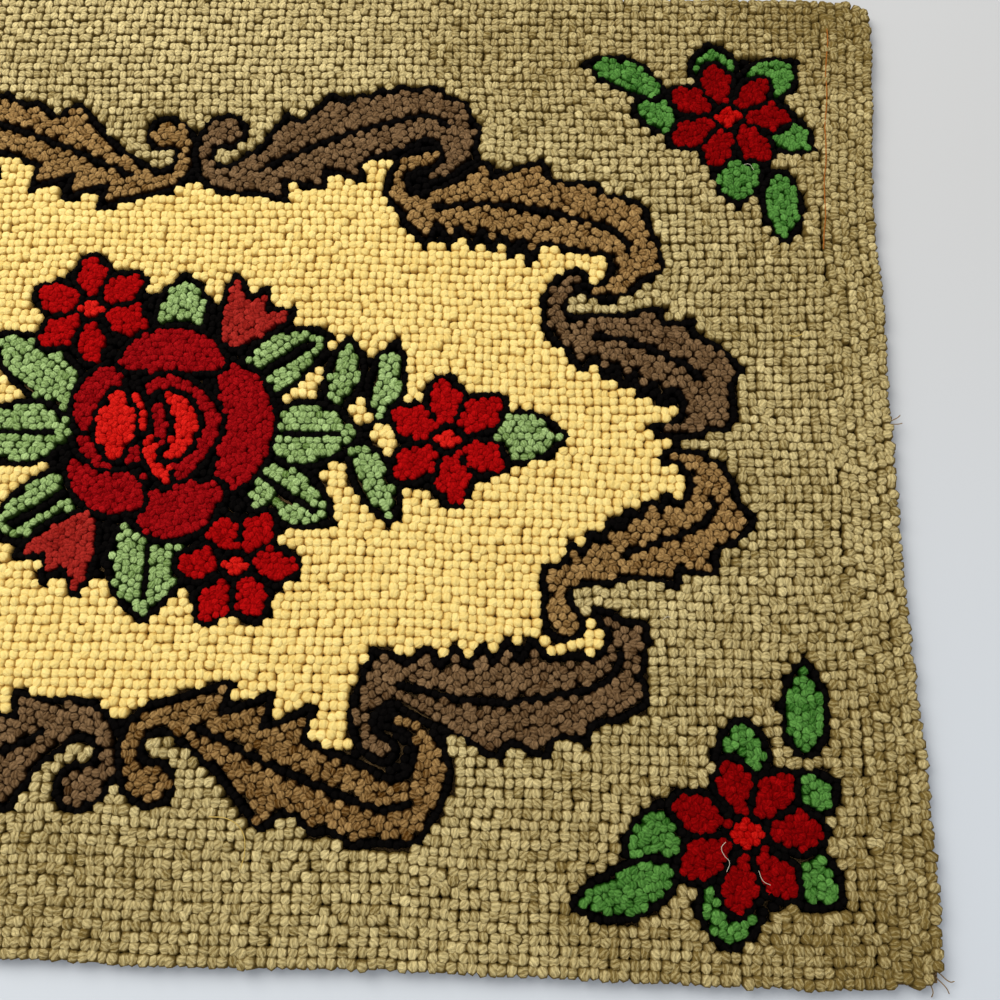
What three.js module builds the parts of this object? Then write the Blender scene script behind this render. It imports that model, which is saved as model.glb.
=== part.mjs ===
import * as THREE from 'three';

// Hooked rug lying flat. Millimetres, +Z up, long side along X, short side along Y.

const HALF_LENGTH = 445;      // nominal, along X
const HALF_WIDTH = 310;       // nominal, along Y
const CORNER_RADIUS = 11;
const PILE_TOP = 10;          // foundation and loops together
const TOP_SWELL = 0.35;       // hand-pulled unevenness of the pile top
const EDGE_WAVE = 0.45;       // small waviness of the hooked edge
const EDGE_WAVE_PITCH = 31;
const CELL = 30;              // spacing of the surface grid
const TOP_INSET = 6;          // where the pile top starts to roll over

// How far the right edge reaches along X at each height Y. The left edge is its half-turn.
const RIGHT_EDGE = [
  { along: -310, reach: 445.8 },
  { along: -215, reach: 446.2 },
  { along: -173, reach: 445.5 },
  { along: -151, reach: 444.1 },
  { along: -105, reach: 442.2 },
  { along: -57, reach: 442.6 },
  { along: -7, reach: 443.0 },
  { along: 18, reach: 441.4 },
  { along: 72, reach: 444.3 },
  { along: 128, reach: 442.9 },
  { along: 157, reach: 443.1 },
  { along: 218, reach: 447.5 },
  { along: 300, reach: 451.5 },
  { along: 312, reach: 452.3 },
];

// How far the far edge reaches along Y at each place X. The near edge is its half-turn.
const FAR_EDGE = [
  { along: -446, reach: 309.4 },
  { along: -372, reach: 311.3 },
  { along: -320, reach: 311.0 },
  { along: -268, reach: 310.2 },
  { along: -216, reach: 309.9 },
  { along: -163, reach: 309.1 },
  { along: -57, reach: 310.5 },
  { along: 51, reach: 308.9 },
  { along: 156, reach: 310.2 },
  { along: 281, reach: 310.2 },
  { along: 378, reach: 309.7 },
  { along: 453, reach: 310.7 },
];

// The edge's section, from the pile top round to the underside.
const EDGE_SECTION = [
  { inset: 3.2, z: 9.4 },
  { inset: 1.2, z: 8.0 },
  { inset: 0, z: 5.2 },
  { inset: 0.5, z: 2.2 },
  { inset: 2.0, z: 0 },
];

// Distances from a corner at which the grid has extra lines, so that the corner is round.
const CORNER_STEPS = [0, 0.4 * CORNER_RADIUS, CORNER_RADIUS];

function reachAt(table, along) {
  const last = table.length - 1;
  const place = Math.min(Math.max(along, table[0].along), table[last].along);
  let k = 0;
  while (k < last - 1 && table[k + 1].along < place) {
    k += 1;
  }
  const share = (place - table[k].along) / (table[k + 1].along - table[k].along);
  const eased = share * share * (3 - 2 * share);
  return table[k].reach + (table[k + 1].reach - table[k].reach) * eased;
}

function wave(along) {
  const turn = (2 * Math.PI * along) / EDGE_WAVE_PITCH;
  return EDGE_WAVE * (0.6 * Math.sin(turn) + 0.4 * Math.sin(1.73 * turn + 0.8));
}

// Moves a point of the nominal rectangle to the rug as it lies.
function asItLies(x, y) {
  const sideX = x < 0 ? -1 : 1;
  const sideY = y < 0 ? -1 : 1;
  const reachX = reachAt(RIGHT_EDGE, sideX * y) + wave(sideX * y);
  const reachY = reachAt(FAR_EDGE, sideY * x) + wave(sideY * x);
  return [(x * reachX) / HALF_LENGTH, (y * reachY) / HALF_WIDTH];
}

// Grid lines across one direction, from -half to +half, closer near the corners.
function gridLines(half) {
  const inner = half - CORNER_RADIUS;
  const count = Math.round((2 * inner) / CELL);
  const lines = [];
  for (const step of CORNER_STEPS) {
    lines.push(step - half);
  }
  for (let k = 1; k < count; k += 1) {
    lines.push(-inner + (2 * inner * k) / count);
  }
  for (const step of [...CORNER_STEPS].reverse()) {
    lines.push(half - step);
  }
  return lines;
}

// One place on the nominal outline with its inward direction.
function outlinePlace(x, y) {
  const innerX = HALF_LENGTH - CORNER_RADIUS;
  const innerY = HALF_WIDTH - CORNER_RADIUS;
  const overX = Math.max(Math.abs(x) - innerX, 0) * Math.sign(x);
  const overY = Math.max(Math.abs(y) - innerY, 0) * Math.sign(y);
  const over = Math.hypot(overX, overY);
  const out = [overX / over, overY / over];
  const foot = [Math.min(Math.max(x, -innerX), innerX), Math.min(Math.max(y, -innerY), innerY)];
  return { foot, out };
}

function insetPoint(place, inset) {
  const reach = CORNER_RADIUS - inset;
  return asItLies(place.foot[0] + place.out[0] * reach, place.foot[1] + place.out[1] * reach);
}

function topHeight(x, y) {
  const swell = Math.sin(x / 47 + 0.6) * Math.cos(y / 39) + 0.6 * Math.sin((x + 1.7 * y) / 83);
  return PILE_TOP - TOP_SWELL + (TOP_SWELL * swell) / 1.6;
}

function buildRug() {
  const across = gridLines(HALF_LENGTH);
  const deep = gridLines(HALF_WIDTH);
  const nx = across.length;
  const ny = deep.length;
  const points = [];
  const faces = [];
  const add = (x, y, z) => {
    points.push(x, y, z);
    return points.length / 3 - 1;
  };
  const quad = (a, b, c, d) => {
    faces.push(a, b, c, a, c, d);
  };

  // pile top
  const top = [];
  const shrinkX = (HALF_LENGTH - TOP_INSET) / HALF_LENGTH;
  const shrinkY = (HALF_WIDTH - TOP_INSET) / HALF_WIDTH;
  for (let j = 0; j < ny; j += 1) {
    const row = [];
    for (let i = 0; i < nx; i += 1) {
      const onRim = i === 0 || j === 0 || i === nx - 1 || j === ny - 1;
      const [x, y] = onRim
        ? insetPoint(outlinePlace(across[i], deep[j]), TOP_INSET)
        : asItLies(across[i] * shrinkX, deep[j] * shrinkY);
      row.push(add(x, y, topHeight(x, y)));
    }
    top.push(row);
  }
  for (let j = 0; j + 1 < ny; j += 1) {
    for (let i = 0; i + 1 < nx; i += 1) {
      quad(top[j][i], top[j][i + 1], top[j + 1][i + 1], top[j + 1][i]);
    }
  }

  // the rim of the grid, anticlockwise from above
  const rim = [];
  for (let i = 0; i < nx - 1; i += 1) rim.push([i, 0]);
  for (let j = 0; j < ny - 1; j += 1) rim.push([nx - 1, j]);
  for (let i = nx - 1; i > 0; i -= 1) rim.push([i, ny - 1]);
  for (let j = ny - 1; j > 0; j -= 1) rim.push([0, j]);

  // rolled edge
  let upper = rim.map(([i, j]) => top[j][i]);
  for (const step of EDGE_SECTION) {
    const lower = rim.map(([i, j]) => {
      const [x, y] = insetPoint(outlinePlace(across[i], deep[j]), step.inset);
      return add(x, y, step.z);
    });
    for (let k = 0; k < rim.length; k += 1) {
      const next = (k + 1) % rim.length;
      quad(upper[k], lower[k], lower[next], upper[next]);
    }
    upper = lower;
  }

  // flat underside
  const outline = upper.map((k) => new THREE.Vector2(points[3 * k], points[3 * k + 1]));
  for (const [a, b, c] of THREE.ShapeUtils.triangulateShape(outline, [])) {
    faces.push(upper[a], upper[c], upper[b]);
  }

  const shape = new THREE.BufferGeometry();
  shape.setAttribute('position', new THREE.Float32BufferAttribute(points, 3));
  shape.setIndex(faces);
  shape.computeVertexNormals();
  return shape;
}

const yarn = new THREE.MeshStandardMaterial({ color: 0xa59469, roughness: 0.95, metalness: 0 });
const rug = new THREE.Mesh(buildRug(), yarn);
rug.name = 'hooked_rug';

const group = new THREE.Group();
group.name = 'rug';
group.add(rug);

export default group;
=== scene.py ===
"""A hooked rug: loops of yarn on a burlap foundation, with a rose bouquet in a frame of scrolls."""

import logging
import math
from dataclasses import dataclass, field
from enum import Enum
from functools import cached_property
from typing import Any

import bpy
import numpy as np
from mathutils import Matrix, Vector


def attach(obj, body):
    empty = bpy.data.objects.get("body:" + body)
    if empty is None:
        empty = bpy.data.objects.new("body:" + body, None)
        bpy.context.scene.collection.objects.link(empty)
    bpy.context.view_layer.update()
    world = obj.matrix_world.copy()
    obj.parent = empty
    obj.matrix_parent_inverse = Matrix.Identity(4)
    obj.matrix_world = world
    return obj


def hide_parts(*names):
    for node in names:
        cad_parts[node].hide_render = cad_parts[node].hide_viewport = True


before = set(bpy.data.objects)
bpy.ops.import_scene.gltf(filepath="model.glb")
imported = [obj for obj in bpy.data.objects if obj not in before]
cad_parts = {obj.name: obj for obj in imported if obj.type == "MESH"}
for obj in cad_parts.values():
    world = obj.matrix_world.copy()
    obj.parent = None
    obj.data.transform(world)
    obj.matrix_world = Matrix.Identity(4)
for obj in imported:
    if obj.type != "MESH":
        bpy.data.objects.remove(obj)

log = logging.getLogger("rug")

Array = np.ndarray
Place = tuple[float, float]
Row = tuple[float, float, float, float]
Colour = tuple[float, float, float]
Point = tuple[float, float, float]

# Lengths are in millimetres, except in the materials and the studio.
MM = 0.001
SEED = 41
PATTERN_CENTRE = (0.0, -10.9)
HALF_LINE = 2.2
PILE_FOOT = 1.7
PILE_TOP = 10.2
EDGE_COLUMNS = 6
RUG_DEPTH = 621
WIDEST_HEIGHT = 5.2
CORNER_START = 13.0
CORNER_ROUND = 12.0
CORNER_SPAN = 14
SIDE_DEPTH = 9
PIECE_TRIANGLES = 150_000


class Yarn(Enum):
    """The yarns, in the order that their loops are numbered."""

    FIELD = 0
    GROUND = 1
    OUTLINE = 2
    SCROLL_DARK = 3
    SCROLL_TAN = 4
    ROSE = 5
    HEART = 6
    PETAL = 7
    BUD = 8
    LEAF = 9
    SPRAY_LEAF = 10


@dataclass(frozen=True)
class Gauge:
    """How thick a yarn's loops are, in millimetres."""

    along: float
    across: float
    height: float
    spread: float


GAUGES = {
    Yarn.FIELD: Gauge(5.3, 5.5, 8.0, 0.685),
    Yarn.GROUND: Gauge(5.15, 5.3, 7.8, 0.69),
    Yarn.OUTLINE: Gauge(4.0, 3.5, 7.0, 0.75),
    Yarn.SCROLL_DARK: Gauge(4.6, 4.5, 7.6, 0.70),
    Yarn.SCROLL_TAN: Gauge(4.7, 4.6, 7.7, 0.70),
    Yarn.ROSE: Gauge(3.3, 3.2, 7.5, 0.82),
    Yarn.HEART: Gauge(3.5, 3.4, 7.7, 0.80),
    Yarn.PETAL: Gauge(3.4, 3.3, 7.6, 0.84),
    Yarn.BUD: Gauge(3.6, 3.5, 7.6, 0.80),
    Yarn.LEAF: Gauge(4.5, 4.3, 7.8, 0.71),
    Yarn.SPRAY_LEAF: Gauge(4.1, 4.0, 7.7, 0.76),
}


def spline(rows: Array, per_gap: int = 10) -> Array:
    """Smooth rows of numbers by a Catmull-Rom curve.

    Args:
        rows: The rows to pass through.
        per_gap: How many steps from one row to the next.

    Returns:
        The rows of the curve.
    """
    ends = np.vstack((2 * rows[0] - rows[1], rows, 2 * rows[-1] - rows[-2]))
    t = np.linspace(0.0, 1.0, per_gap, endpoint=False)[:, None]
    parts = []
    for a, b, c, d in zip(ends, ends[1:], ends[2:], ends[3:]):
        cubic = (3 * b - a - 3 * c + d) * t**3
        parts.append(0.5 * (2 * b + (c - a) * t + (2 * a - 5 * b + 4 * c - d) * t**2 + cubic))
    parts.append(rows[-1:])
    return np.vstack(parts)


def lengths(line: Array) -> Array:
    """Distance along a polyline at each of its points."""
    return np.concatenate(([0.0], np.cumsum(np.hypot(*np.diff(line, axis=0).T))))


def at_lengths(line: Array, run: Array, at: Array) -> Array:
    """Points of a polyline at given distances along it."""
    return np.column_stack([np.interp(at, run, line[:, k]) for k in (0, 1)])


def paced(line: Array, pitch: float) -> tuple[Array, Array]:
    """Evenly paced points on a polyline.

    Args:
        line: The polyline.
        pitch: The distance wanted between points.

    Returns:
        The points, and the line's direction at each.
    """
    run = lengths(line)
    count = max(int(round(run[-1] / pitch)), 1)
    at = (np.arange(count) + 0.5) * run[-1] / count
    step = at_lengths(line, run, at + 1.0) - at_lengths(line, run, at - 1.0)
    return at_lengths(line, run, at), np.arctan2(step[:, 1], step[:, 0])


def winding(points: Array, outline: Array) -> Array:
    """How many times a closed outline goes round each point.

    Args:
        points: The points.
        outline: The outline's corners.

    Returns:
        The turns, 0 outside.
    """
    low, high = outline.min(0), outline.max(0)
    turns = np.zeros(len(points), int)
    near = np.flatnonzero(((points >= low) & (points <= high)).all(1))
    x, y = points[near, 0][:, None], points[near, 1][:, None]
    ahead = np.roll(outline, -1, 0)
    step = ahead - outline
    side = step[:, 0] * (y - outline[:, 1]) - (x - outline[:, 0]) * step[:, 1]
    up = (outline[:, 1] <= y) & (ahead[:, 1] > y) & (side > 0)
    down = (outline[:, 1] > y) & (ahead[:, 1] <= y) & (side < 0)
    turns[near] = up.sum(1) - down.sum(1)
    return turns


def pairs(a: Array, b: Array, reach: float) -> tuple[Array, Array, Array]:
    """All pairs of points, one of a and one of b, that are near each other.

    Args:
        a: Points.
        b: Points.
        reach: The distance below which two are near.

    Returns:
        The numbers of the points in a and in b, and their distances.
    """
    wide = 1 << 20
    cell_a = np.floor(a / reach).astype(np.int64)
    cell_b = np.floor(b / reach).astype(np.int64)
    key_b = cell_b[:, 0] * wide + cell_b[:, 1]
    order = np.argsort(key_b, kind="stable")
    keys = key_b[order]
    first, second = [], []
    for dx in (-1, 0, 1):
        for dy in (-1, 0, 1):
            want = (cell_a[:, 0] + dx) * wide + cell_a[:, 1] + dy
            start = np.searchsorted(keys, want, "left")
            count = np.searchsorted(keys, want, "right") - start
            i = np.repeat(np.arange(len(a)), count)
            j = np.arange(count.sum()) - np.repeat(np.cumsum(count) - count, count) + np.repeat(start, count)
            first.append(i)
            second.append(order[j])
    i, j = np.concatenate(first), np.concatenate(second)
    gap = np.hypot(*(a[i] - b[j]).T)
    keep = gap < reach
    return i[keep], j[keep], gap[keep]


def clearance(a: Array, b: Array, reach: float) -> Array:
    """Distance from each point of a to the nearest point of b.

    Args:
        a: Points.
        b: Points.
        reach: The longest distance looked at.

    Returns:
        The distances, up to reach.
    """
    best = np.full(len(a), reach)
    if len(b):
        i, _, gap = pairs(a, b, reach)
        np.minimum.at(best, i, gap)
    return best


@dataclass(frozen=True)
class Teeth:
    """Pointed lobes along one margin of a leaf, by share of its length."""

    start: float
    end: float
    count: int
    depth: float
    peak: float = 0.75

    def reach(self, share: Array) -> Array:
        """Extra width along the margin.

        Args:
            share: Shares of the length.

        Returns:
            The width at each.
        """
        place = (share - self.start) / (self.end - self.start)
        q = np.mod(place * self.count, 1.0)
        tooth = np.where(q < self.peak, q / self.peak, (1.0 - q) / (1.0 - self.peak))
        return np.where((place > 0) & (place < 1), self.depth * tooth**1.2, 0.0)


@dataclass(frozen=True)
class Band:
    """A shape drawn along a spine of rows: x, y, half width to the left, half width to the right."""

    rows: tuple[Row, ...]
    left: tuple[Teeth, ...] = ()
    right: tuple[Teeth, ...] = ()

    def spine(self) -> Array:
        """The smoothed rows."""
        return spline(np.array(self.rows, float))

    def part(self, start: float, end: float) -> Array:
        """The spine between two shares of its length.

        Args:
            start: The first share.
            end: The last share.

        Returns:
            The points from start to end.
        """
        line = self.spine()[:, :2]
        run = lengths(line)
        return at_lengths(line, run, np.linspace(start, end, 40) * run[-1])

    def outline(self) -> Array:
        """The closed outline, with rounded ends where the band is wide there.

        Returns:
            The outline's corners.
        """
        rows = self.spine()
        line = rows[:, :2]
        run = lengths(line)
        share = run / run[-1]
        step = np.gradient(line, axis=0)
        step /= np.hypot(*step.T)[:, None]
        out = np.column_stack((-step[:, 1], step[:, 0]))
        left = line + out * (rows[:, 2].clip(0.2) + sum(t.reach(share) for t in self.left))[:, None]
        right = line - out * (rows[:, 3].clip(0.2) + sum(t.reach(share) for t in self.right))[:, None]
        return np.vstack((left, self.cap(left[-1], right[-1]), right[::-1], self.cap(right[0], left[0])))

    @staticmethod
    def cap(start: Array, end: Array) -> Array:
        """A half circle from one margin's end to the other's.

        Args:
            start: The first margin's end.
            end: The other's.

        Returns:
            The points between them.
        """
        centre = (start + end) / 2
        arm = start - centre
        turn = -np.linspace(0.0, math.pi, 7)[1:-1]
        return centre + np.column_stack(
            (arm[0] * np.cos(turn) - arm[1] * np.sin(turn), arm[0] * np.sin(turn) + arm[1] * np.cos(turn))
        )

    def half_turn(self) -> "Band":
        """The same band turned by half a turn about the pattern's centre."""
        return Band(tuple((-x, -y, a, b) for x, y, a, b in self.rows), self.left, self.right)


@dataclass(frozen=True)
class Motif:
    """One colour area of the pattern, with a line hooked round it and lines across it."""

    yarn: Yarn
    bands: tuple[Band, ...]
    veins: tuple[tuple[int, float, float], ...] = ()
    outlined: bool = True

    def half_turn(self) -> "Motif":
        """The same motif on the other side of the pattern."""
        return Motif(self.yarn, tuple(b.half_turn() for b in self.bands), self.veins, self.outlined)

    @cached_property
    def outlines(self) -> list[Array]:
        """The outline of each band, in rug millimetres."""
        return [b.outline() + PATTERN_CENTRE for b in self.bands]

    @cached_property
    def box(self) -> tuple[Array, Array]:
        """The lowest and the highest corner of the outlines."""
        every = np.vstack(self.outlines)
        return every.min(0), every.max(0)

    def covers(self, points: Array) -> Array:
        """Which points are on the motif.

        Args:
            points: Places on the rug.

        Returns:
            True for each that is.
        """
        low, high = self.box
        near = np.flatnonzero(((points >= low) & (points <= high)).all(1))
        on = np.zeros(len(points), bool)
        for line in self.outlines:
            if len(near):
                on[near] |= winding(points[near], line) != 0
        return on

    def lines(self) -> list[Array]:
        """The veins, in rug millimetres."""
        return [self.bands[k].part(a, b) + PATTERN_CENTRE for k, a, b in self.veins]


# Each shape is pairs of a place along the motif and the share of its half width there.
LEAF_SHAPE = ((0.0, 0.5), (0.1, 0.82), (0.32, 1.0), (0.56, 0.94), (0.8, 0.6), (1.0, 0.05))
PETAL_SHAPE = ((0.0, 0.5), (0.25, 0.8), (0.6, 1.0), (0.86, 0.92), (1.0, 0.55))
DISC_SHAPE = ((-0.95, 0.3), (-0.5, 0.87), (0.0, 1.0), (0.5, 0.87), (0.95, 0.3))
BUD_SHAPE = ((0.0, 0.9), (0.35, 1.0), (0.7, 0.62), (1.0, 0.05))
LOBE_SHAPE = ((0.0, 0.45), (0.2, 0.86), (0.5, 1.0), (0.8, 0.86), (1.0, 0.45))
PETAL_ROOM = 0.96
UNEVEN_TURN = 0.06
UNEVEN_LENGTH = 0.05
ROOT_CURL = 20.0
TIP_CURL = 25.0
TIGHTENING = 0.12
NECK = 4.5
SWELL_PLACE = 1.27
SWELL_ROUNDNESS = 1.3
KNOB_REACH = 14.0


def leaf(
    base: Place, tip: Place, half: float, bend: float = 0.0, vein: bool = False, yarn: Yarn = Yarn.LEAF
) -> Motif:
    """A pointed leaf.

    Args:
        base: Where it starts.
        tip: Where it ends.
        half: Half of its width.
        bend: How far its middle stands off to the left.
        vein: Whether a dark line runs up it.
        yarn: Its yarn.

    Returns:
        The leaf.
    """
    a, b = np.array(base), np.array(tip)
    side = np.array((a[1] - b[1], b[0] - a[0])) / np.hypot(*(b - a))
    rows = []
    for t, share in LEAF_SHAPE:
        p = a + (b - a) * t + side * bend * math.sin(math.pi * t)
        wide = half * share + HALF_LINE * min(1.0, 4 * (1 - t))
        rows.append((p[0], p[1], wide, wide))
    return Motif(yarn, (Band(tuple(rows)),), ((0, 0.04, 0.8),) if vein else ())


def petal(centre: Place, angle: float, start: float, end: float, half: float, gap: float) -> Band:
    """A rounded petal on a ray from a flower's centre.

    Args:
        centre: The flower's centre.
        angle: The ray's direction.
        start: Where the petal starts on the ray.
        end: Where it ends.
        half: Half of its greatest width.
        gap: The angle from one petal to the next.

    Returns:
        The petal.
    """
    rows = []
    for t, share in PETAL_SHAPE:
        r = start + (end - start) * t
        wide = min(half * share + HALF_LINE, r * math.tan(gap / 2) - 0.6)
        rows.append((centre[0] + math.cos(angle) * r, centre[1] + math.sin(angle) * r, wide, wide))
    return Band(tuple(rows))


@dataclass(frozen=True)
class Flower:
    """A simple flower: petals on even rays and a disc."""

    centre: Place
    petals: int
    first: float
    start: float
    end: float
    half: float
    disc: float

    def motifs(self) -> list[Motif]:
        """The disc over the petals.

        Returns:
            The disc and each petal.
        """
        x, y = self.centre
        r = self.disc + HALF_LINE
        middle = Band(tuple((x + r * t, y, r * w, r * w) for t, w in DISC_SHAPE))
        made = [Motif(Yarn.HEART, (middle,))]
        gap = 2 * math.pi / self.petals
        for k in range(self.petals):
            uneven = math.sin(2.3 * k + x)
            ray = math.radians(self.first) - gap * k + UNEVEN_TURN * uneven
            end = self.end * (1.0 + UNEVEN_LENGTH * uneven)
            band = petal(self.centre, ray, self.start, end, self.half, gap * PETAL_ROOM)
            made.append(Motif(Yarn.PETAL, (band,)))
        return made


def bud(base: Place, tips: tuple[Place, ...], half: float) -> Motif:
    """A bud opening into points.

    Args:
        base: Where it starts.
        tips: Its points.
        half: Half the width of each.

    Returns:
        The bud.
    """
    bands = []
    bx, by = base
    for x, y in tips:
        rows = []
        for t, share in BUD_SHAPE:
            wide = half * share + HALF_LINE * (1.2 - t)
            rows.append((bx + (x - bx) * t, by + (y - by) * t, wide, wide))
        bands.append(Band(tuple(rows)))
    return Motif(Yarn.BUD, tuple(bands))


def oval(base: Place, tip: Place, half: float) -> Band:
    """A rounded lobe between two ends.

    Args:
        base: One end.
        tip: The other end.
        half: Half of its greatest width.

    Returns:
        The lobe.
    """
    rows = []
    for t, share in LOBE_SHAPE:
        x, y = (a + (b - a) * t for a, b in zip(base, tip))
        rows.append((x, y, half * share + HALF_LINE, half * share + HALF_LINE))
    return Band(tuple(rows))


def crescent(centre: Place, radius: float, first: float, last: float, half: float) -> Band:
    """A lobe bent round a centre.

    Args:
        centre: The centre of its arc.
        radius: The arc's radius.
        first: The angle where it starts.
        last: The angle where it ends.
        half: Half of its greatest width.

    Returns:
        The crescent.
    """
    rows = []
    for t, share in LOBE_SHAPE:
        turn = math.radians(first + (last - first) * t)
        wide = half * share + HALF_LINE
        rows.append((centre[0] + radius * math.cos(turn), centre[1] + radius * math.sin(turn), wide, wide))
    return Band(tuple(rows))


@dataclass(frozen=True)
class Scroll:
    """A leafy scroll: an S of two round curls with a body that swells between them."""

    yarn: Yarn
    root: Place
    tip: Place
    lower: bool
    root_sweep: float
    tip_sweep: float
    half: float
    bow: float
    knob: float
    vein: Place
    left: tuple[Teeth, ...]
    right: tuple[Teeth, ...]

    def spine(self) -> Array:
        """The line down its middle: the root's arc, the body on the arcs' cross tangent, and the tip's arc.

        Returns:
            Points along the line.
        """
        way = -1.0 if self.lower else 1.0
        span = np.subtract(self.tip, self.root)
        heading = math.atan2(span[1], span[0]) + way * math.asin((ROOT_CURL + TIP_CURL) / math.hypot(*span))
        unwound = np.linspace(1.0, 0.0, 9)
        wound = np.linspace(0.0, 1.0, 9)
        root_turn = heading - way * (math.pi / 2 + math.radians(self.root_sweep) * unwound)
        tip_turn = heading + way * (math.pi / 2 - math.radians(self.tip_sweep) * wound)
        root_arm = ROOT_CURL * (1.0 - TIGHTENING * unwound**2)
        tip_arm = TIP_CURL * (1.0 - TIGHTENING * wound**2)
        root = self.root + np.column_stack((root_arm * np.cos(root_turn), root_arm * np.sin(root_turn)))
        tip = self.tip + np.column_stack((tip_arm * np.cos(tip_turn), tip_arm * np.sin(tip_turn)))
        t = np.linspace(0.0, 1.0, 6)[1:-1, None]
        off = np.array((-math.sin(heading), math.cos(heading)))
        body = root[-1] + (tip[0] - root[-1]) * t + off * self.bow * np.sin(math.pi * t)
        return np.vstack((root, body, tip))

    def motif(self) -> Motif:
        """The scroll as a motif.

        Returns:
            Its band and its vein.
        """
        line = self.spine()
        run = lengths(line)
        share = run / run[-1]
        swell = np.sin(math.pi * share**SWELL_PLACE) ** SWELL_ROUNDNESS
        wide = NECK * (1.0 - 0.5 * share) + (self.half - NECK) * swell
        wide += self.knob * np.exp(-((run / KNOB_REACH) ** 2))
        rows = tuple((x, y, w, w) for (x, y), w in zip(line.tolist(), wide.tolist()))
        return Motif(self.yarn, (Band(rows, self.left, self.right),), ((0, *self.vein),))


def scrolls() -> list[Motif]:
    """The six scrolls of the right half, from the top round to the bottom.

    Returns:
        The scrolls, and the dark eyes of the first tip and the last.
    """
    dark, tan = Yarn.SCROLL_DARK, Yarn.SCROLL_TAN
    made = [
        Scroll(
            dark, root=(25, 194), tip=(149, 200), lower=False, root_sweep=186, tip_sweep=205, half=24.5,
            bow=4, knob=8, vein=(0.28, 0.80),
            left=(Teeth(0.31, 0.54, 2, 12, 0.85), Teeth(0.56, 0.90, 7, 5, 0.5)),
            right=(Teeth(0.22, 0.53, 3, 14, 0.85),),
        ),
        Scroll(
            tan, root=(155, 175), tip=(263, 120), lower=False, root_sweep=172, tip_sweep=195, half=24.5,
            bow=8, knob=3, vein=(0.25, 0.80),
            left=(Teeth(0.28, 0.53, 2, 14, 0.86), Teeth(0.57, 0.86, 3, 7, 0.75)),
            right=(Teeth(0.20, 0.56, 6, 16, 0.55),),
        ),
        Scroll(
            dark, root=(258, 87), tip=(307, 28), lower=False, root_sweep=145, tip_sweep=180, half=21.5,
            bow=4, knob=4, vein=(0.32, 0.71),
            left=(Teeth(0.40, 0.86, 4, 9, 0.8),),
            right=(Teeth(0.24, 0.66, 5, 12, 0.6),),
        ),
        Scroll(
            tan, root=(262, -102), tip=(310, -34), lower=True, root_sweep=105, tip_sweep=170, half=20.0,
            bow=0, knob=6, vein=(0.37, 0.74),
            left=(Teeth(0.10, 0.62, 7, 8, 0.55),),
            right=(Teeth(0.40, 0.74, 3, 11, 0.85),),
        ),
        Scroll(
            dark, root=(154, -170), tip=(256, -126), lower=True, root_sweep=160, tip_sweep=155, half=24.0,
            bow=-8, knob=2, vein=(0.24, 0.87),
            left=(Teeth(0.17, 0.65, 6, 12, 0.5),),
            right=(Teeth(0.42, 0.94, 5, 10, 0.75),),
        ),
        Scroll(
            tan, root=(25, -191), tip=(150, -193), lower=True, root_sweep=188, tip_sweep=210, half=20.5,
            bow=-2, knob=8, vein=(0.26, 0.76),
            left=(Teeth(0.21, 0.495, 3, 21, 0.88),),
            right=(Teeth(0.34, 0.52, 1, 15, 0.85), Teeth(0.54, 0.78, 3, 5, 0.6)),
        ),
    ]
    eyes = (crescent((149, 194), 11, 160, -60, 3.0), crescent((152, -188), 12, -90, 60, 3.5))
    return [scroll.motif() for scroll in made] + [Motif(Yarn.OUTLINE, eyes, (), False)]


def rose() -> list[Motif]:
    """The full-blown rose: bright hearts inside rings of petals.

    Returns:
        The hearts, then the petals.
    """
    hearts = (
        oval((-29, 18), (-26, -15), 11.5), crescent((-5, 1), 21, 66, -58, 6.5),
        oval((-18, 23), (-9, -1), 3.2), oval((-7, -8), (8, -34), 4.8),
    )
    petals = (
        oval((-3, 21), (4, -12), 3.0), crescent((1, 0), 31, 128, -104, 4.6),
        crescent((2, 0), 52, 120, 60, 15.0), crescent((1, 1), 48, 130, 178, 11.0),
        crescent((-26, 3), 24, 190, 322, 4.6), crescent((0, -1), 46, 196, 256, 15.5),
        crescent((3, 0), 52, -99, -52, 17.5), crescent((2, 0), 52, 50, -42, 15.0),
    )
    return [Motif(Yarn.HEART, (band,)) for band in hearts] + [Motif(Yarn.ROSE, (band,)) for band in petals]


def dark_ground() -> Motif:
    """The dark ground that the bouquet stands on.

    Returns:
        The ground, without a line round it.
    """
    middle = Band(((2, 60, 34, 34), (2, 40, 53, 53), (2, -4, 64, 64), (4, -46, 55, 55), (4, -68, 34, 34)))
    shoulders = (
        Band(((-44, 50, 9, 9), (-14, 66, 8, 8))), Band(((18, 66, 8, 8), (36, 52, 9, 9))),
        Band(((44, -56, 9, 9), (18, -70, 8, 8))), Band(((-18, -66, 8, 8), (-36, -52, 9, 9))),
    )
    return Motif(Yarn.OUTLINE, (middle, *shoulders), (), False)


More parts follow.
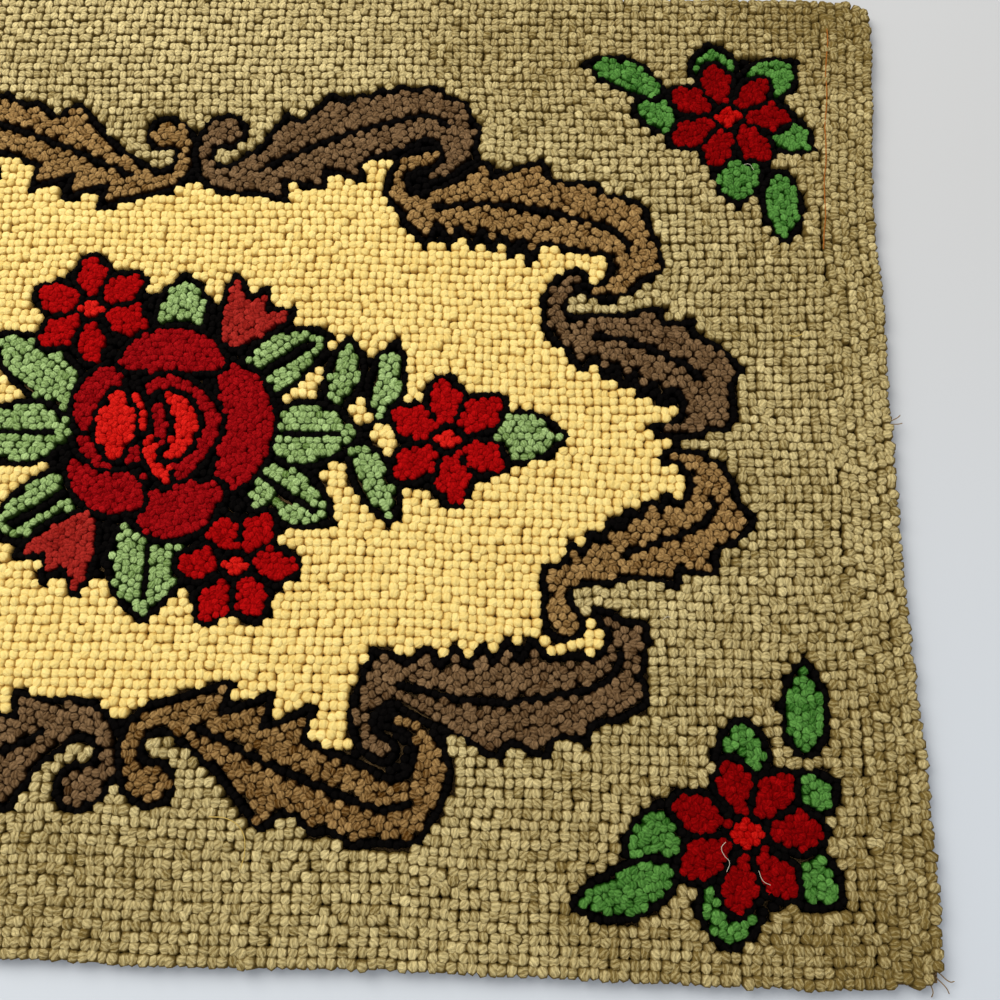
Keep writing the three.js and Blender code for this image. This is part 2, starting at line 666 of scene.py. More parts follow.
def bouquet() -> list[Motif]:
    """The rose with its flowers, buds and leaves, both sides.

    Returns:
        The motifs, the topmost first.
    """
    made = rose()
    made += Flower((-53, 79), 6, 100, 7.5, 31.5, 10.2, 6.0).motifs()
    made += Flower((55, -84), 6, 120, 7.5, 29.5, 10.2, 6.0).motifs()
    side = [
        leaf((53, 30), (99, 64), 16, 3, True),
        leaf((69, -2), (122, -1), 18.5, 0, True),
        leaf((58, -25), (110, -56), 15.5, -1, True),
        leaf((107, 22), (112, 62), 9, -1),
        leaf((136, 13), (142, 60), 8.8, 2),
        leaf((123, -13), (145, -56), 10, 2),
        leaf((201, -1), (247, 0), 14),
    ]
    far = [m.half_turn() for m in side]
    far[:3] = [
        leaf((-45, -34), (-95, -68), 16, 3, True),
        leaf((-62, -4), (-117, -5), 18.5, 0, True),
        leaf((-58, 20), (-114, 60), 14.5, -2),
    ]
    flower = Flower((176, -3), 6, 97, 8, 34.5, 9.8, 6.6).motifs()
    tulip = bud((40, 64), ((37, 104), (58, 95), (76, 80)), 9)
    made += flower + [m.half_turn() for m in flower]
    made += [tulip, tulip.half_turn()]
    made += side + far
    made += [leaf((4, 62), (5, 104), 14), leaf((1, -58), (4, -117), 21, 0, True)]
    return made


UPPER_LEAVES: tuple[tuple[Place, Place, float, float], ...] = (
    ((303, 247), (257, 269), 9.5, -3), ((324, 226), (290, 237), 11, 2), ((346, 254), (340, 284), 13, 0),
    ((364, 244), (399, 271), 14, 0), ((376, 226), (407, 202), 12, 0), ((357, 198), (356, 161), 13, 0),
    ((384, 180), (386, 134), 10, 0),
)
LOWER_LEAVES: tuple[tuple[Place, Place, float, float], ...] = (
    ((303, -246), (253, -263), 10.5, 3), ((321, -224), (281, -236), 14.5, -2),
    ((345, -198), (347, -164), 12, 0), ((381, -177), (382, -131), 10.5, 0),
    ((364, -214), (397, -196), 12.5, 0), ((362, -234), (396, -258), 13, 0),
    ((338, -248), (335, -283), 15, 0),
)


def sprays() -> list[Motif]:
    """The two corner sprays of the right half.

    Returns:
        Each flower, with its leaves under it.
    """
    upper = Flower((352, 227), 7, 153, 8.5, 34.5, 10.6, 7.2)
    lower = Flower((347, -225), 7, 156, 8.5, 34.5, 10.6, 7.4)
    made = []
    for flower, leaves in ((upper, UPPER_LEAVES), (lower, LOWER_LEAVES)):
        made += flower.motifs()
        made += [leaf(base, tip, half, bend, yarn=Yarn.SPRAY_LEAF) for base, tip, half, bend in leaves]
    return made


STEMS: tuple[tuple[Place, ...], ...] = (
    ((121, 0), (128, 5), (136, 11), (146, 14)),
    ((121, -3), (121, -8), (123, -14)),
    ((306, 245), (322, 243)),
    ((373, 200), (379, 188), (384, 180)),
    ((304, -247), (322, -240)),
    ((372, -195), (378, -186), (381, -176)),
)

MEDALLION: tuple[tuple[int, float, float], ...] = (
    (0, 0.22, 0.78), (1, 0.08, 0.96), (2, 0.06, 0.96), (3, 0.96, 0.04), (4, 0.97, 0.04), (5, 0.97, 0.20),
)


def medallion() -> Array:
    """The line down the middle of the scrolls, which parts the pale ground from the field.

    Returns:
        The closed line.
    """
    bands = [motif.bands[0] for motif in scrolls()]
    half = np.vstack([bands[k].part(start, end) for k, start, end in MEDALLION])
    return np.vstack((half, -half)) + PATTERN_CENTRE


class Side(Enum):
    """The four sides of the rug, each as the axis it lies across and the way it faces."""

    RIGHT = (0, 1)
    LEFT = (0, -1)
    FAR = (1, 1)
    NEAR = (1, -1)


class RugEdge:
    """The outline of the rug, read from its CAD solid, in millimetres."""

    def __init__(self, solid: bpy.types.Object) -> None:
        """Take the widest ring of the solid.

        Args:
            solid: The CAD node of the rug.
        """
        found = np.empty(len(solid.data.vertices) * 3, np.float32)
        solid.data.vertices.foreach_get("co", found)
        corners = found.reshape(-1, 3).astype(float) / MM
        ring = np.unique(corners[np.abs(corners[:, 2] - WIDEST_HEIGHT) < 0.3, :2].round(3), axis=0)
        self.ring = ring[np.argsort(np.arctan2(ring[:, 1], ring[:, 0]))]
        self.tables = {side: self.side_table(side) for side in Side}

    def side_table(self, side: Side) -> Array:
        """Points of one side between its corners, in order.

        Args:
            side: The side.

        Returns:
            Rows of place along the side and reach of the side.
        """
        axis, sign = side.value
        reach, along = sign * self.ring[:, axis], self.ring[:, 1 - axis]
        on = (reach > reach.max() - SIDE_DEPTH) & (np.abs(along) < np.abs(along).max() - CORNER_SPAN)
        rows = np.column_stack((along[on], sign * reach[on]))
        return rows[np.argsort(rows[:, 0])]

    def reach(self, side: Side, at: Array) -> Array:
        """How far out a side is at places along it.

        Args:
            side: The side.
            at: Places along the side.

        Returns:
            The coordinate of the side there.
        """
        table = self.tables[side]
        return np.interp(at, table[:, 0], table[:, 1])

    def depth(self, points: Array) -> Array:
        """How far each point is inside the outline.

        Args:
            points: Places on the rug.

        Returns:
            Distances, below zero outside.
        """
        best = np.full(len(points), 1e9)
        for a, b in zip(self.ring, np.roll(self.ring, -1, 0)):
            step = b - a
            t = (((points - a) @ step) / (step @ step)).clip(0, 1)
            best = np.minimum(best, np.hypot(*(points - a - t[:, None] * step).T))
        return np.where(winding(points, self.ring) != 0, best, -best)

    def hold(self, points: Array, inset: float) -> None:
        """Move points that are past the edge back inside it.

        Args:
            points: Places on the rug, changed in place.
            inset: The least distance from a side.
        """
        for side in Side:
            axis, sign = side.value
            limit = self.reach(side, points[:, 1 - axis]) - sign * inset
            points[:, axis] -= sign * (sign * (points[:, axis] - limit)).clip(0)
        out = np.abs(points) - (np.abs(self.ring).max(0) - CORNER_START)
        far = np.hypot(*out.T)
        corner = (out > 0).all(1) & (far > CORNER_ROUND - inset)
        pull = out[corner] * (1 - (CORNER_ROUND - inset) / far[corner])[:, None]
        points[corner] -= np.sign(points[corner]) * pull


@dataclass
class Loops:
    """Loops of yarn: where each stands, the way it runs and the yarn it is hooked with."""

    xy: Array
    turn: Array
    yarn: Array

    @classmethod
    def of(cls, xy: Array, turn: Any, yarn: Yarn) -> "Loops":
        """Loops of one yarn.

        Args:
            xy: Their places.
            turn: One direction, or one for each.
            yarn: The yarn.

        Returns:
            The loops.
        """
        return cls(xy, np.broadcast_to(np.asarray(turn, float), len(xy)).copy(), np.full(len(xy), yarn.value))

    def plus(self, other: "Loops") -> "Loops":
        """These loops and others."""
        return Loops(
            np.vstack((self.xy, other.xy)),
            np.concatenate((self.turn, other.turn)),
            np.concatenate((self.yarn, other.yarn)),
        )

    def only(self, keep: Array) -> "Loops":
        """Some of the loops."""
        return Loops(self.xy[keep], self.turn[keep], self.yarn[keep])

    def size(self) -> Array:
        """The mean half width of each loop."""
        table = np.array([0.25 * (GAUGES[y].along + GAUGES[y].across) for y in Yarn])
        return table[self.yarn]


class Layout:
    """Lays the loops: dark lines first, then what they enclose, then the two grounds in rows."""

    ROW_REACH = 460
    COLUMN_REACH = 318
    COLUMN_PITCH = 1.04
    WAVER = 0.18
    SPOT_REACH = (452, 312)
    SPOT_PITCH = 1.25
    BARE = 1.7
    PATCH_DEPTH = 2.4
    PATCH_GAP = 3.6
    LINE_SIZE = 0.88
    LINE_GIVE = 0.12
    TOUCH = 0.98
    PUSH = 0.42
    LONGEST_PUSH = 0.8
    HOMING = 0.04
    EDGE_ROOM = 2.7
    NEIGHBOUR = 7.6
    COMB_REACH = 16.0
    COMB_SPREAD = 0.2

    def __init__(self, edge: RugEdge) -> None:
        """Draw the pattern.

        Args:
            edge: The rug's outline.
        """
        self.edge = edge
        self.rng = np.random.default_rng(SEED)
        right = scrolls() + sprays()
        self.motifs = bouquet() + [dark_ground()] + right + [m.half_turn() for m in right]
        self.medallion = medallion()

    def lay(self) -> Loops:
        """Lay every loop.

        Returns:
            The loops.
        """
        lines = self.lines()
        made = self.fills(lines)
        self.settle(made, 20)
        made = self.grounds(made)
        self.settle(made, 10)
        for _ in range(2):
            made = made.plus(self.patches(made))
            self.settle(made, 6)
        self.darken(made)
        self.comb(made)
        return made

    def lines(self) -> Loops:
        """The dark outlines, veins and stems.

        Returns:
            Their loops.
        """
        pitch = GAUGES[Yarn.OUTLINE].along
        made = Loops.of(np.zeros((0, 2)), 0.0, Yarn.OUTLINE)
        drawn: list[tuple[Array, int, bool]] = []
        for k, motif in enumerate(self.motifs):
            if motif.outlined:
                drawn += [(np.vstack((o, o[:1])), k, True) for o in motif.outlines]
            drawn += [(v, k, False) for v in motif.lines()]
        for stem in STEMS:
            for sign in (1, -1):
                drawn.append((spline(sign * np.array(stem, float)) + PATTERN_CENTRE, len(self.motifs), False))
        for line, k, ring in drawn:
            xy, turn = paced(line, pitch)
            keep = clearance(xy, made.xy, 6.0) > 0.8 * pitch
            for above in self.motifs[:k]:
                if above.outlined:
                    keep &= ~above.covers(xy)
            if ring:
                out = np.column_stack((-np.sin(turn), np.cos(turn))) * 1.3
                keep &= ~(self.motifs[k].covers(xy + out) & self.motifs[k].covers(xy - out))
            made = made.plus(Loops.of(xy[keep], turn[keep], Yarn.OUTLINE))
        return made

    def fills(self, lines: Loops) -> Loops:
        """Fill each motif inside its line.

        Args:
            lines: The dark loops.

        Returns:
            The dark loops and the fills.
        """
        made = lines
        dark = GAUGES[Yarn.OUTLINE]
        for k, motif in enumerate(self.motifs):
            gauge = GAUGES[motif.yarn]
            low, high = motif.box
            spine = motif.bands[0].spine()[:, :2]
            angle = math.atan2(*(spine[-1] - spine[0])[::-1])
            n = int((np.hypot(*(high - low)) + 10) / min(gauge.along, gauge.across)) + 2
            i, j = np.meshgrid(np.arange(-n, n + 1), np.arange(-n, n + 1))
            gx, gy = ((i + 0.5 * (j % 2)) * gauge.along).ravel(), (j * gauge.across * 0.95).ravel()
            c, s = math.cos(angle), math.sin(angle)
            xy = np.column_stack((c * gx - s * gy, s * gx + c * gy)) + (low + high) / 2
            xy = xy[((xy > low) & (xy < high)).all(1)]
            xy = xy[motif.covers(xy)]
            for above in self.motifs[:k]:
                xy = xy[~above.covers(xy)]
            room = 0.2 * (gauge.along + gauge.across + dark.along + dark.across)
            xy = xy[clearance(xy, lines.xy, 8.0) > room]
            made = made.plus(Loops.of(xy, angle, motif.yarn))
        return made

    def field_rows(self, gauge: Gauge) -> Array:
        """Wavering rows of loops from edge to edge.

        Args:
            gauge: The yarn's gauge.

        Returns:
            Places of loops.
        """
        rows = int(round(RUG_DEPTH / gauge.across))
        phase, made = 0.0, []
        for j in range(rows):
            phase += self.rng.normal(0, 0.11) * gauge.along
            share = (j + 0.5) / rows
            x = np.arange(-self.ROW_REACH, self.ROW_REACH, gauge.along) + phase % gauge.along
            low, high = self.edge.reach(Side.NEAR, x), self.edge.reach(Side.FAR, x)
            calm = min(1.0, 8 * share, 8 * (1 - share))
            y = low + (high - low) * share * (0.95 + 0.05 * share)
            y += calm * (1.2 * np.sin(x / 61 + 0.35 * math.sin(j / 9)) + 0.7 * np.sin(x / 23 + 0.21 * j))
            x = x + 0.9 * np.sin(y / 31 + x / 140)
            made.append(np.column_stack((x, y)))
        xy = np.vstack(made)
        return xy + self.rng.normal(0, self.WAVER, xy.shape)

    def side_columns(self, gauge: Gauge) -> Array:
        """Columns of loops along the two short sides.

        Args:
            gauge: The yarn's gauge.

        Returns:
            Places of loops.
        """
        made = []
        for side in (Side.RIGHT, Side.LEFT):
            for k in range(EDGE_COLUMNS):
                y = np.arange(-self.COLUMN_REACH, self.COLUMN_REACH, gauge.along)
                y = y + self.rng.uniform(0, gauge.along)
                x = self.edge.reach(side, y) - side.value[1] * (k + 0.5) * gauge.along * self.COLUMN_PITCH
                made.append(np.column_stack((x, y)))
        xy = np.vstack(made)
        return xy + self.rng.normal(0, self.WAVER, xy.shape)

    def grounds(self, made: Loops) -> Loops:
        """Lay the pale ground of the medallion and the field round it.

        Args:
            made: The loops of the motifs.

        Returns:
            All the loops.
        """
        total = made
        size = made.size()
        field_gauge = GAUGES[Yarn.FIELD]
        inner = (EDGE_COLUMNS * self.COLUMN_PITCH - 0.05) * field_gauge.along
        for yarn, columns in ((Yarn.FIELD, False), (Yarn.FIELD, True), (Yarn.GROUND, False)):
            gauge = GAUGES[yarn]
            xy = self.side_columns(gauge) if columns else self.field_rows(gauge)
            keep = self.edge.depth(xy) > 1.8
            keep &= (winding(xy, self.medallion) != 0) == (yarn is Yarn.GROUND)
            if not columns:
                keep &= self.edge.reach(Side.RIGHT, xy[:, 1]) - xy[:, 0] > inner
                keep &= xy[:, 0] - self.edge.reach(Side.LEFT, xy[:, 1]) > inner
            for motif in self.motifs:
                keep &= ~motif.covers(xy)
            xy = xy[keep]
            i, j, gap = pairs(xy, made.xy, 8.0)
            tight = np.zeros(len(xy), bool)
            tight[i[gap < 0.72 * (0.25 * (gauge.along + gauge.across) + size[j])]] = True
            total = total.plus(Loops.of(xy[~tight], math.pi / 2 if columns else 0.0, yarn))
        return total

    def settle(self, loops: Loops, steps: int) -> None:
        """Push crowded loops apart. The dark lines give way least.

        Args:
            loops: The loops, moved in place.
            steps: How many rounds of pushing.
        """
        dark = loops.yarn == Yarn.OUTLINE.value
        size = loops.size() * np.where(dark, self.LINE_SIZE, 1.0)
        free = np.where(dark, self.LINE_GIVE, 1.0)
        home = loops.xy.copy()
        for _ in range(steps):
            i, j, gap = pairs(loops.xy, loops.xy, 5.6)
            near = (i < j) & (gap < self.TOUCH * (size[i] + size[j]))
            i, j, gap = i[near], j[near], gap[near].clip(0.05)
            over = self.TOUCH * (size[i] + size[j]) - gap
            push = (loops.xy[i] - loops.xy[j]) * (self.PUSH * over / gap)[:, None]
            share = (free[i] / (free[i] + free[j]))[:, None]
            for axis in (0, 1):
                move = np.bincount(i, (push * share)[:, axis], len(size))
                move -= np.bincount(j, (push * (1 - share))[:, axis], len(size))
                loops.xy[:, axis] += move.clip(-self.LONGEST_PUSH, self.LONGEST_PUSH)
            loops.xy += (home - loops.xy) * self.HOMING
            self.edge.hold(loops.xy, self.EDGE_ROOM)

    def patches(self, loops: Loops) -> Loops:
        """Loops for the bare spots that are left.

        Args:
            loops: The loops so far.

        Returns:
            The loops to add.
        """
        gx, gy = np.meshgrid(*(np.arange(-reach, reach, self.SPOT_PITCH) for reach in self.SPOT_REACH))
        spots = np.column_stack((gx.ravel(), gy.ravel()))
        i, j, gap = pairs(spots, loops.xy, 5.4)
        room = np.full(len(spots), 3.0)
        np.minimum.at(room, i, gap - loops.size()[j])
        bare = room > self.BARE
        spots, room = spots[bare], room[bare]
        inside = self.edge.depth(spots) > self.PATCH_DEPTH
        spots = spots[inside][np.argsort(-room[inside], kind="stable")]
        chosen: list[Array] = []
        for spot in spots:
            if all(np.abs(spot - other).max() > self.PATCH_GAP for other in chosen):
                chosen.append(spot)
        xy = np.array(chosen).reshape(-1, 2)
        yarn = np.where(winding(xy, self.medallion) != 0, Yarn.GROUND.value, Yarn.FIELD.value)
        taken = np.zeros(len(xy), bool)
        for motif in self.motifs:
            on = motif.covers(xy) & ~taken
            yarn[on] = motif.yarn.value
            taken |= on
        return Loops(xy, np.zeros(len(xy)), yarn)

    def darken(self, loops: Loops) -> None:
        """Hook lone ground loops among dark ones with the dark yarn.

        Args:
            loops: The loops, changed in place.
        """
        i, j, _ = pairs(loops.xy, loops.xy, self.NEIGHBOUR)
        other = i != j
        i, j = i[other], j[other]
        same = np.bincount(i, loops.yarn[i] == loops.yarn[j], len(loops.yarn))
        dark = np.bincount(i, loops.yarn[j] == Yarn.OUTLINE.value, len(loops.yarn))
        lone = (loops.yarn < Yarn.OUTLINE.value) & (same <= 1) & (dark >= 3)
        loops.yarn[lone] = Yarn.OUTLINE.value

    def comb(self, loops: Loops) -> None:
        """Turn the loops of each motif along its nearest dark line, and all a little at random.

        Args:
            loops: The loops, turned in place.
        """
        dark = np.flatnonzero(loops.yarn == Yarn.OUTLINE.value)
        fills = np.flatnonzero(loops.yarn > Yarn.OUTLINE.value)
        i, j, gap = pairs(loops.xy[fills], loops.xy[dark], self.COMB_REACH)
        order = np.argsort(-gap, kind="stable")
        loops.turn[fills[i[order]]] = loops.turn[dark[j[order]]]
        loops.turn += self.rng.normal(0, self.COMB_SPREAD, len(loops.turn))


class Value:
    """A shader value that can be reckoned with."""

    def __init__(self, nodes: "Nodes", socket: bpy.types.NodeSocket) -> None:
        """Wrap an output socket.

        Args:
            nodes: The material's nodes.
            socket: The socket.
        """
        self.nodes = nodes
        self.socket = socket

    def reckon(self, operation: str, *others: Any) -> "Value":
        """A Math node of this value and others."""
        inputs = {k: other for k, other in enumerate((self, *others))}
        return self.nodes.add("ShaderNodeMath", {"operation": operation}, inputs)

    def __add__(self, other: Any) -> "Value":
        """This value plus another."""
        return self.reckon("ADD", other)

    def __sub__(self, other: Any) -> "Value":
        """This value less another."""
        return self.reckon("SUBTRACT", other)

    def __rsub__(self, other: float) -> "Value":
        """A number less this value."""
        return self.reckon("MULTIPLY_ADD", -1.0, other)

    def __mul__(self, other: Any) -> "Value":
        """This value times another."""
        return self.reckon("MULTIPLY", other)

    __radd__ = __add__
    __rmul__ = __mul__

    def sine(self) -> "Value":
        """The sine of this value."""
        return self.reckon("SINE")

    def clipped(self) -> "Value":
        """This value held from 0 to 1.

        Returns:
            The held value.
        """
        made = self.reckon("ADD", 0.0)
        made.socket.node.use_clamp = True
        return made

    def ramp(self, low: float, high: float) -> "Value":
        """A smooth step of this value from low to high."""
        inputs = {"Value": self, "From Min": low, "From Max": high}
        return self.nodes.add("ShaderNodeMapRange", {"interpolation_type": "SMOOTHSTEP"}, inputs)


class Nodes:
    """The node tree of one material."""

    def __init__(self, name: str) -> None:
        """Start a material.

        Args:
            name: Its name.
        """
        self.material = bpy.data.materials.new(name)
        self.material.use_nodes = True
        self.tree = self.material.node_tree
        self.shader = self.tree.nodes["Principled BSDF"]

    def add(self, kind: str, settings: dict[str, Any], inputs: dict[Any, Any], output: Any = 0) -> Value:
        """Add a node.

        Args:
            kind: The node's type.
            settings: Its properties.
            inputs: What goes in at each socket, by name or number.
            output: The socket that comes out.

        Returns:
            The output.
        """
        node = self.tree.nodes.new(kind)
        for key, value in settings.items():
            setattr(node, key, value)
        for key, value in inputs.items():
            self.feed(node.inputs[key], value)
        return Value(self, node.outputs[output])

    def feed(self, socket: bpy.types.NodeSocket, value: Any) -> None:
        """Link a value to a socket, or set it there.

        Args:
            socket: The input socket.
            value: A Value, a number or a colour.
        """
        if isinstance(value, Value):
            self.tree.links.new(value.socket, socket)
        elif socket.type == "RGBA":
            socket.default_value = (*value, 1.0)
        else:
            socket.default_value = value

    def mix(self, factor: Value, first: Any, second: Any) -> Value:
        """A colour between two.

        Args:
            factor: 0 for the first, 1 for the second.
            first: A colour.
            second: A colour.

        Returns:
            The colour.
        """
        return self.add("ShaderNodeMix", {"data_type": "RGBA"}, {"Factor": factor, 6: first, 7: second}, 2)

    def noise(self, place: Value, scale: float, detail: float = 2.0) -> Value:
        """Noise at a place, from 0 to 1.

        Args:
            place: Where it is read.
            scale: Its scale.
            detail: Its octaves.

        Returns:
            The noise.
        """
        return self.add("ShaderNodeTexNoise", {}, {"Vector": place, "Scale": scale, "Detail": detail})

    def bump(self, strength: float, distance: float, height: Value) -> Value:
        """A normal made rough by a height.

        Args:
            strength: How strong it is.
            distance: How high the height is, in metres.
            height: The height, from 0 to 1.

        Returns:
            The normal.
        """
        inputs = {"Strength": strength, "Distance": distance, "Height": height}
        return self.add("ShaderNodeBump", {}, inputs, "Normal")

    def parts(self, vector: Value) -> tuple[Value, Value, Value]:
        """The three parts of a vector.

        Args:
            vector: The vector.

        Returns:
            Its x, y and z.
        """
        first = self.add("ShaderNodeSeparateXYZ", {}, {"Vector": vector})
        return tuple(Value(self, s) for s in first.socket.node.outputs)

    def place(self) -> Value:
        """The object's own coordinates, in metres."""
        return self.add("ShaderNodeTexCoord", {}, {}, "Object")

    def surface(self, **inputs: Any) -> None:
        """Feed the shader's sockets, named with underscores for spaces."""
        for key, value in inputs.items():
            self.feed(self.shader.inputs[key.replace("_", " ")], value)


def linear(red: int, green: int, blue: int) -> Colour:
    """A screen colour as linear light.

    Args:
        red: From 0 to 255.
        green: From 0 to 255.
        blue: From 0 to 255.

    Returns:
        The linear colour.
    """
    return tuple(
        (c / 255 / 12.92) if c <= 10 else ((c / 255 + 0.055) / 1.055) ** 2.4 for c in (red, green, blue)
    )


@dataclass(frozen=True)
class YarnFinish:
    """The look of one yarn: two tones, painted shade towards the foot of its loops where they crowd together,
    and its strands.
    """

    name: str
    slot: str
    deep: Colour
    bright: Colour
    # gap: painted shade, the colour that each loop darkens to towards its foot, in the crevices between loops
    gap: Colour
    strands: float = 2.0
    # streak and fuzz: colour stripes along the strands, partly the yarn's own uneven colour, partly painted
    # highlight and shade
    streak: float = 0.45
    fuzz: float = 0.35
    bump: float = 0.5
    # edge: how far down the rim ramp the painted shade at the foot begins
    edge: float = 0.64

    def material(self) -> bpy.types.Material:
        """Make the material.

        Returns:
            The material.
        """
        nodes = Nodes(self.name)
        tone = nodes.add("ShaderNodeAttribute", {"attribute_name": "tone"}, {}, "Fac")
        rim = nodes.add("ShaderNodeAttribute", {"attribute_name": "rim"}, {}, "Fac")
        u, v, _ = nodes.parts(nodes.add("ShaderNodeUVMap", {"uv_map": "Strand"}, {}))
        wander = nodes.noise(nodes.add("ShaderNodeCombineXYZ", {}, {0: u, 1: v}), 1.6, 1.0)
        twist = ((v * self.strands + wander * 0.8) * (2 * math.pi)).sine() * 0.5 + 0.5
        fibre = nodes.noise(nodes.add("ShaderNodeCombineXYZ", {}, {0: u * 2.0, 1: v * 9.0}), 1.0, 3.0)
        # Strand stripes in the colour: partly the yarn's own uneven colour, partly painted highlight and
        # shade of the twisted strands.
        shade = (tone + (twist - 0.5) * self.streak + (fibre - 0.5) * self.fuzz).clipped()
        tone_and_strand_shade = nodes.mix(shade, self.deep, self.bright)
        bump = nodes.bump(self.bump, 0.0012, twist * 0.5 + fibre * 1.2)
        # Painted shade: towards its foot each loop is mixed into the gap colour, where the loops crowd
        # together.
        nodes.surface(
            Base_Color=nodes.mix(rim.ramp(self.edge, self.edge + 0.36), tone_and_strand_shade, self.gap),
            Roughness=0.95,
            Specular_IOR_Level=0.02,
            Normal=bump,
        )
        return nodes.material


# The third colour of each yarn is the painted shade at the foot of its loops.
FINISHES = {
    Yarn.FIELD: YarnFinish(
        "sage_wool", "field_yarn", linear(118, 97, 48), linear(232, 212, 152), linear(106, 86, 42),
        strands=1.5, streak=0.35, fuzz=1.3, bump=0.9, edge=0.56,
    ),
    Yarn.GROUND: YarnFinish(
        "cream_wool", "ground_yarn", linear(214, 182, 101), linear(243, 219, 142), linear(194, 157, 80),
        strands=1.4, streak=0.25, fuzz=0.7, bump=0.5, edge=0.58,
    ),
    Yarn.OUTLINE: YarnFinish(
        "black_wool", "outline_yarn", linear(3, 2, 2), linear(11, 9, 8), linear(2, 1, 1),
        strands=1.0, streak=0.3, fuzz=0.4, bump=0.5,
    ),
    Yarn.SCROLL_DARK: YarnFinish(
        "umber_wool", "scroll_dark_yarn", linear(60, 37, 14), linear(148, 117, 82), linear(38, 23, 9),
        strands=1.5, streak=0.35, fuzz=1.2, bump=0.9, edge=0.58,
    ),
    Yarn.SCROLL_TAN: YarnFinish(
        "tan_wool", "scroll_tan_yarn", linear(80, 49, 11), linear(192, 153, 96), linear(46, 27, 7),
        strands=1.5, streak=0.35, fuzz=1.2, bump=0.9, edge=0.58,
    ),
    Yarn.ROSE: YarnFinish(
        "crimson_wool", "rose_yarn", linear(96, 0, 3), linear(168, 16, 20), linear(88, 0, 2),
        strands=1.4, streak=0.3, fuzz=1.0, bump=0.6, edge=0.66,
    ),
    Yarn.HEART: YarnFinish(
        "scarlet_wool", "heart_yarn", linear(158, 4, 3), linear(222, 36, 27), linear(134, 3, 3),
        strands=1.4, streak=0.3, fuzz=1.0, bump=0.6, edge=0.66,
    ),
    Yarn.PETAL: YarnFinish(
        "ruby_wool", "rose_yarn", linear(110, 1, 2), linear(184, 12, 13), linear(100, 1, 1),
        strands=1.4, streak=0.3, fuzz=1.0, bump=0.6, edge=0.66,
    ),
    Yarn.BUD: YarnFinish(
        "brick_wool", "bud_yarn", linear(108, 11, 7), linear(178, 47, 39), linear(84, 8, 6),
        strands=1.4, streak=0.3, fuzz=1.0, bump=0.6, edge=0.64,
    ),
    Yarn.LEAF: YarnFinish(
        "leaf_wool", "leaf_yarn", linear(76, 104, 36), linear(182, 210, 138), linear(46, 66, 22),
        strands=1.5, streak=0.3, fuzz=1.2, bump=0.8, edge=0.57,
    ),
    Yarn.SPRAY_LEAF: YarnFinish(
        "spray_wool", "leaf_yarn", linear(22, 72, 9), linear(108, 166, 78), linear(24, 64, 9),
        strands=1.5, streak=0.3, fuzz=1.2, bump=0.8, edge=0.6,
    ),
}


@dataclass(frozen=True)
class BurlapFinish:
    """A plain open weave of brown jute."""

    name: str = "burlap"
    slot: str = "foundation"
    dark: Colour = linear(62, 46, 26)
    light: Colour = linear(150, 120, 78)
    pitch: float = 1.9

    def material(self) -> bpy.types.Material:
        """Make the material.

        Returns:
            The material.
        """
        nodes = Nodes(self.name)
        place = nodes.place()
        x, y, _ = nodes.parts(place)
        slub = nodes.noise(place, 420.0, 3.0)
        turn = 2 * math.pi / (self.pitch * MM)
        over = (x * turn + slub).sine() * (y * turn + slub).sine()
        shade = (over * 0.32 + slub * 0.5 + 0.22).clipped()
        bump = nodes.bump(0.6, 0.0008, over * 0.5 + slub * 0.4)
        jute = nodes.mix(shade, self.dark, self.light)
        nodes.surface(Base_Color=jute, Roughness=0.95, Specular_IOR_Level=0.15, Normal=bump)
        return nodes.material


